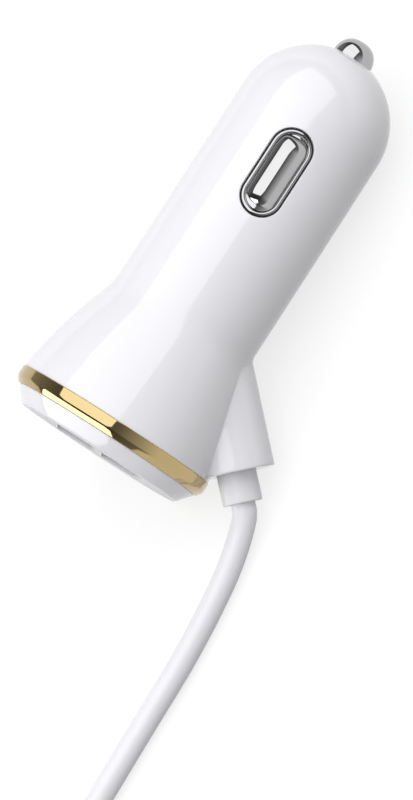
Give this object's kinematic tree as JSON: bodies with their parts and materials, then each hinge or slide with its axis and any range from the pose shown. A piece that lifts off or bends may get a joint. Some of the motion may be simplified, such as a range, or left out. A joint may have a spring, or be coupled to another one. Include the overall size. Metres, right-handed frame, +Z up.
{
  "type": "car usb charger plug",
  "caption": "White car socket charger plug with a rounded nose, sprung chrome contacts, a flared gold-ringed end with charging sockets, and a lead from its side.",
  "frame": {"origin": "middle of the plug's outline on the floor, measured without the cable, with the plug lying at rest", "axes": "+X from the end cap towards the tip, level, with the plug's own axis dipping 4.8 degrees below it; +Y away from the side that the cable leaves from; +Z up"},
  "size_m": [0.1694, 0.0518, 0.029],
  "materials": {
    "white_gloss": "gloss",
    "gold_plate": "polished",
    "chrome": "polished",
    "spring_steel": "satin",
    "board_green": "satin",
    "dark_ferrite": "matt",
    "can_aluminium": "satin",
    "core_white": "satin",
    "socket_steel": "polished",
    "cable_white": "satin",
    "lead_red": "satin",
    "lead_black": "satin"
  },
  "bodies": {
    "plug": {"housing_shell": "white_gloss", "end_cap": "white_gloss", "gold_ring": "gold_plate", "tip_spring": "spring_steel", "tip_terminal": "gold_plate", "contact_bezel_upper": "chrome", "contact_bezel_lower": "chrome", "contact_leaf_upper": "spring_steel", "contact_leaf_lower": "spring_steel", "circuit_board": "board_green", "power_inductor": "dark_ferrite", "input_capacitor": "can_aluminium", "output_capacitor": "can_aluminium", "controller_chip": "dark_ferrite", "fuse": "core_white", "usb_shell_near": "socket_steel", "usb_shell_far": "socket_steel", "usb_core_near": "core_white", "usb_core_far": "core_white", "usb_pins_near": "gold_plate", "usb_pins_far": "gold_plate", "cable_grommet": "cable_white", "lead_positive": "lead_red", "lead_negative": "lead_black", "cable": "cable_white", "cable_coil": "cable_white", "cable_tail": "cable_white", "plug_sleeve": "cable_white", "plug_grip": "cable_white", "plug_shell": "socket_steel", "plug_tongue": "dark_ferrite"},
    "tip": {"tip_contact": "chrome"},
    "upper_contact": {"side_contact_upper": "chrome"},
    "lower_contact": {"side_contact_lower": "chrome"}
  },
  "joints": [
    {"name": "tip_slide", "type": "slide", "parent": "plug", "child": "tip", "axis": [-0.9964, 0, 0.0843], "range_m": [0, 0.002], "stiffness_N_per_m": 600, "springref_m": -0.0015, "deforming": ["tip_spring"]},
    {"name": "side_contact_upper_slide", "type": "slide", "parent": "plug", "child": "upper_contact", "axis": [-0.0701, 0.5557, -0.8284], "range_m": [0, 0.00095], "stiffness_N_per_m": 800, "springref_m": -0.001, "deforming": ["contact_leaf_upper"]},
    {"name": "side_contact_lower_slide", "type": "slide", "parent": "plug", "child": "lower_contact", "axis": [0.0701, -0.5557, 0.8284], "range_m": [0, 0.00095], "stiffness_N_per_m": 800, "springref_m": -0.001, "deforming": ["contact_leaf_lower"]}
  ]
}
